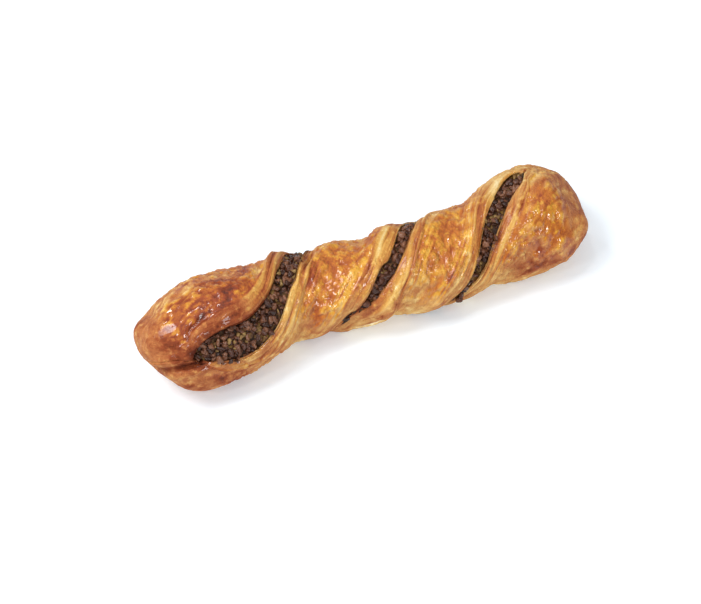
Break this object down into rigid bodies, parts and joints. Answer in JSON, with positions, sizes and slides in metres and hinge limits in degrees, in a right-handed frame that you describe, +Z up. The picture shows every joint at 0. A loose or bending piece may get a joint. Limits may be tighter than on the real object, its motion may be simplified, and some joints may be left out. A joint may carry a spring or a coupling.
{
  "type": "chocolate twist pastry",
  "caption": "Baked twist of glazed laminated pastry, folded in two round a slab of custard and chocolate chips that shows as dark bands along its cut sides.",
  "frame": {"origin": "under the middle of the twist, on the surface that it lies on", "axes": "+X along the twist from its pinched end to its folded end, +Z up, +Y to the far side in the picture"},
  "size_m": [0.2192, 0.0532, 0.0469],
  "materials": {
    "baked_pastry": "baked laminated pastry: golden brown blistered faces under a glossy glaze, pale matt cut edges with fine layers",
    "chocolate_filling": "dark brown chocolate chips with a soft sheen, set in a little baked yellow custard"
  },
  "bodies": {
    "root": {"pastry": "baked_pastry", "filling": "chocolate_filling"}
  },
  "joints": []
}
